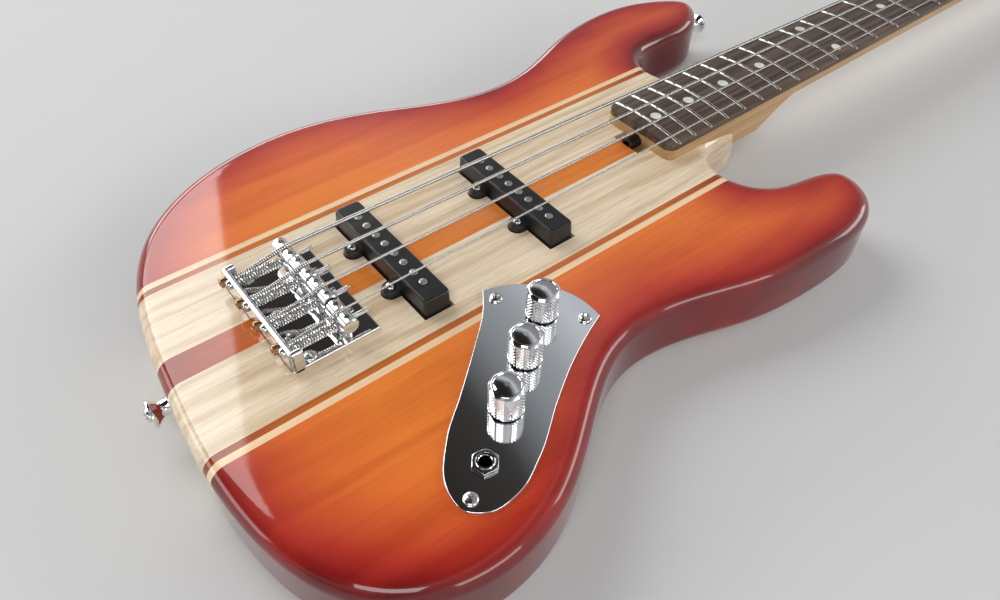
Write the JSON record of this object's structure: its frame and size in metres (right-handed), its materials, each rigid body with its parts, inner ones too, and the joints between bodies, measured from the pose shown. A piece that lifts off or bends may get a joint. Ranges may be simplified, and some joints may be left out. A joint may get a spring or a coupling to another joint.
{
  "type": "electric bass guitar",
  "caption": "Electric bass guitar with a laminated offset body, bolt-on neck, open worm-gear tuners, single-coil pickups, barrel-saddle bridge and a metal control plate with output jack.",
  "frame": {"origin": "on the plane of the body's back, on the centre line, under the saddle line", "axes": "+X along the neck from the saddles to the nut, +Y to the bass side, +Z out of the front"},
  "size_m": [1.1718, 0.3415, 0.065],
  "materials": {
    "stained_wood": "gloss",
    "centre_wood": "gloss",
    "ash": "gloss",
    "dark_wood": "gloss",
    "pale_wood": "gloss",
    "maple": "satin",
    "rosewood": "satin",
    "nickel": "polished",
    "nut_bone": "satin",
    "dot_pearl": "gloss",
    "chrome": "mirror",
    "screw_steel": "polished",
    "pickup_black": "satin",
    "coil_copper": "wound wire",
    "foam": "matte",
    "pot_metal": "satin",
    "string_wire": "round wound",
    "lead_insulation": "matte"
  },
  "bodies": {
    "instrument": {"centre_stripe": "centre_wood", "ash_band_bass": "ash", "ash_band_treble": "ash", "dark_stripes": "dark_wood", "pale_stripes": "pale_wood", "bass_wing": "stained_wood", "treble_wing": "stained_wood", "neck": "maple", "fingerboard": "rosewood", "frets": "nickel", "nut": "nut_bone", "position_dots": "dot_pearl", "string_retainer": "chrome", "wood_screws": "screw_steel", "neck_plate": "chrome", "neck_bolts": "screw_steel", "strap_buttons": "chrome", "tuner_plates": "chrome", "tuner_bushings": "chrome", "bridge_plate": "chrome", "intonation_springs": "screw_steel", "pickup_foam": "foam", "control_plate": "chrome", "potentiometers": "pot_metal", "control_nuts": "screw_steel", "jack": "chrome", "strings": "string_wire", "hookup_leads": "lead_insulation"},
    "truss_rod": {"truss_rod": "screw_steel"},
    "tuner_key_e": {"tuner_key_e": "chrome"},
    "tuner_post_e": {"tuner_post_e": "chrome"},
    "tuner_key_a": {"tuner_key_a": "chrome"},
    "tuner_post_a": {"tuner_post_a": "chrome"},
    "tuner_key_d": {"tuner_key_d": "chrome"},
    "tuner_post_d": {"tuner_post_d": "chrome"},
    "tuner_key_g": {"tuner_key_g": "chrome"},
    "tuner_post_g": {"tuner_post_g": "chrome"},
    "intonation_screw_e": {"intonation_screw_e": "screw_steel"},
    "saddle_e": {"saddle_e": "chrome", "saddle_screws_e": "screw_steel"},
    "intonation_screw_a": {"intonation_screw_a": "screw_steel"},
    "saddle_a": {"saddle_a": "chrome", "saddle_screws_a": "screw_steel"},
    "intonation_screw_d": {"intonation_screw_d": "screw_steel"},
    "saddle_d": {"saddle_d": "chrome", "saddle_screws_d": "screw_steel"},
    "intonation_screw_g": {"intonation_screw_g": "screw_steel"},
    "saddle_g": {"saddle_g": "chrome", "saddle_screws_g": "screw_steel"},
    "neck_pickup": {"neck_pickup_cover": "pickup_black", "neck_pickup_coil": "coil_copper", "neck_pickup_poles": "screw_steel", "neck_pickup_screws": "screw_steel"},
    "bridge_pickup": {"bridge_pickup_cover": "pickup_black", "bridge_pickup_coil": "coil_copper", "bridge_pickup_poles": "screw_steel", "bridge_pickup_screws": "screw_steel"},
    "knob_neck_volume": {"knob_neck_volume": "chrome"},
    "knob_bridge_volume": {"knob_bridge_volume": "chrome"},
    "knob_tone": {"knob_tone": "chrome"}
  },
  "joints": [
    {"name": "truss_rod_turn", "type": "hinge", "parent": "instrument", "child": "truss_rod", "pos_m": [0.248, 0, 0.0445], "axis": [1, 0, 0], "range_deg": [-270, 270]},
    {"name": "tuner_key_e_turn", "type": "hinge", "parent": "instrument", "child": "tuner_key_e", "pos_m": [0.92851, 0.01738, 0.02475], "axis": [0.2588, 0.9659, 0], "continuous": true},
    {"name": "tuner_post_e_turn", "type": "hinge", "parent": "instrument", "child": "tuner_post_e", "pos_m": [0.9156, 0.02084, 0.044], "axis": [0, 0, 1], "continuous": true, "deforming": ["strings"]},
    {"name": "tuner_key_a_turn", "type": "hinge", "parent": "instrument", "child": "tuner_key_a", "pos_m": [0.96651, 0.007, 0.02475], "axis": [0.2588, 0.9659, 0], "continuous": true},
    {"name": "tuner_post_a_turn", "type": "hinge", "parent": "instrument", "child": "tuner_post_a", "pos_m": [0.9536, 0.01046, 0.044], "axis": [0, 0, 1], "continuous": true, "deforming": ["strings"]},
    {"name": "tuner_key_d_turn", "type": "hinge", "parent": "instrument", "child": "tuner_key_d", "pos_m": [1.00451, -0.00256, 0.02475], "axis": [0.2588, 0.9659, 0], "continuous": true},
    {"name": "tuner_post_d_turn", "type": "hinge", "parent": "instrument", "child": "tuner_post_d", "pos_m": [0.9916, 0.0009, 0.044], "axis": [0, 0, 1], "continuous": true, "deforming": ["strings"]},
    {"name": "tuner_key_g_turn", "type": "hinge", "parent": "instrument", "child": "tuner_key_g", "pos_m": [1.04251, -0.01122, 0.02475], "axis": [0.2588, 0.9659, 0], "continuous": true},
    {"name": "tuner_post_g_turn", "type": "hinge", "parent": "instrument", "child": "tuner_post_g", "pos_m": [1.0296, -0.00776, 0.044], "axis": [0, 0, 1], "continuous": true, "deforming": ["strings"]},
    {"name": "intonation_screw_e_turn", "type": "hinge", "parent": "instrument", "child": "intonation_screw_e", "pos_m": [0, 0.0278, 0.055], "axis": [1, 0, 0], "range_deg": [-4320, 4320]},
    {"name": "saddle_e_slide", "type": "slide", "parent": "instrument", "child": "saddle_e", "axis": [1, 0, 0], "range_m": [-0.006, 0.006], "deforming": ["strings", "intonation_springs"]},
    {"name": "intonation_screw_a_turn", "type": "hinge", "parent": "instrument", "child": "intonation_screw_a", "pos_m": [0, 0.0078, 0.055], "axis": [1, 0, 0], "range_deg": [-4320, 4320]},
    {"name": "saddle_a_slide", "type": "slide", "parent": "instrument", "child": "saddle_a", "axis": [1, 0, 0], "range_m": [-0.006, 0.006], "deforming": ["strings", "intonation_springs"]},
    {"name": "intonation_screw_d_turn", "type": "hinge", "parent": "instrument", "child": "intonation_screw_d", "pos_m": [0, -0.0122, 0.055], "axis": [1, 0, 0], "range_deg": [-4320, 4320]},
    {"name": "saddle_d_slide", "type": "slide", "parent": "instrument", "child": "saddle_d", "axis": [1, 0, 0], "range_m": [-0.006, 0.006], "deforming": ["strings", "intonation_springs"]},
    {"name": "intonation_screw_g_turn", "type": "hinge", "parent": "instrument", "child": "intonation_screw_g", "pos_m": [0, -0.0322, 0.055], "axis": [1, 0, 0], "range_deg": [-4320, 4320]},
    {"name": "saddle_g_slide", "type": "slide", "parent": "instrument", "child": "saddle_g", "axis": [1, 0, 0], "range_m": [-0.006, 0.006], "deforming": ["strings", "intonation_springs"]},
    {"name": "neck_pickup_height", "type": "slide", "parent": "instrument", "child": "neck_pickup", "axis": [0, 0, 1], "range_m": [-0.002, 0.003], "deforming": ["pickup_foam"]},
    {"name": "bridge_pickup_height", "type": "slide", "parent": "instrument", "child": "bridge_pickup", "axis": [0, 0, 1], "range_m": [-0.002, 0.003], "deforming": ["pickup_foam"]},
    {"name": "knob_neck_volume_turn", "type": "hinge", "parent": "instrument", "child": "knob_neck_volume", "pos_m": [0.0918, -0.084, 0.044], "axis": [0, 0, 1], "range_deg": [-150, 150]},
    {"name": "knob_bridge_volume_turn", "type": "hinge", "parent": "instrument", "child": "knob_bridge_volume", "pos_m": [0.0642, -0.1029, 0.044], "axis": [0, 0, 1], "range_deg": [-150, 150]},
    {"name": "knob_tone_turn", "type": "hinge", "parent": "instrument", "child": "knob_tone", "pos_m": [0.0366, -0.1218, 0.044], "axis": [0, 0, 1], "range_deg": [-150, 150]}
  ],
  "couplings": [
    {"joint": "tuner_post_e_turn", "follows": "tuner_key_e_turn", "ratio": -0.0625},
    {"joint": "tuner_post_a_turn", "follows": "tuner_key_a_turn", "ratio": -0.0625},
    {"joint": "tuner_post_d_turn", "follows": "tuner_key_d_turn", "ratio": -0.0625},
    {"joint": "tuner_post_g_turn", "follows": "tuner_key_g_turn", "ratio": -0.0625},
    {"joint": "intonation_screw_e_turn", "follows": "saddle_e_slide", "rad_per_m": -12566},
    {"joint": "intonation_screw_a_turn", "follows": "saddle_a_slide", "rad_per_m": -12566},
    {"joint": "intonation_screw_d_turn", "follows": "saddle_d_slide", "rad_per_m": -12566},
    {"joint": "intonation_screw_g_turn", "follows": "saddle_g_slide", "rad_per_m": -12566}
  ]
}
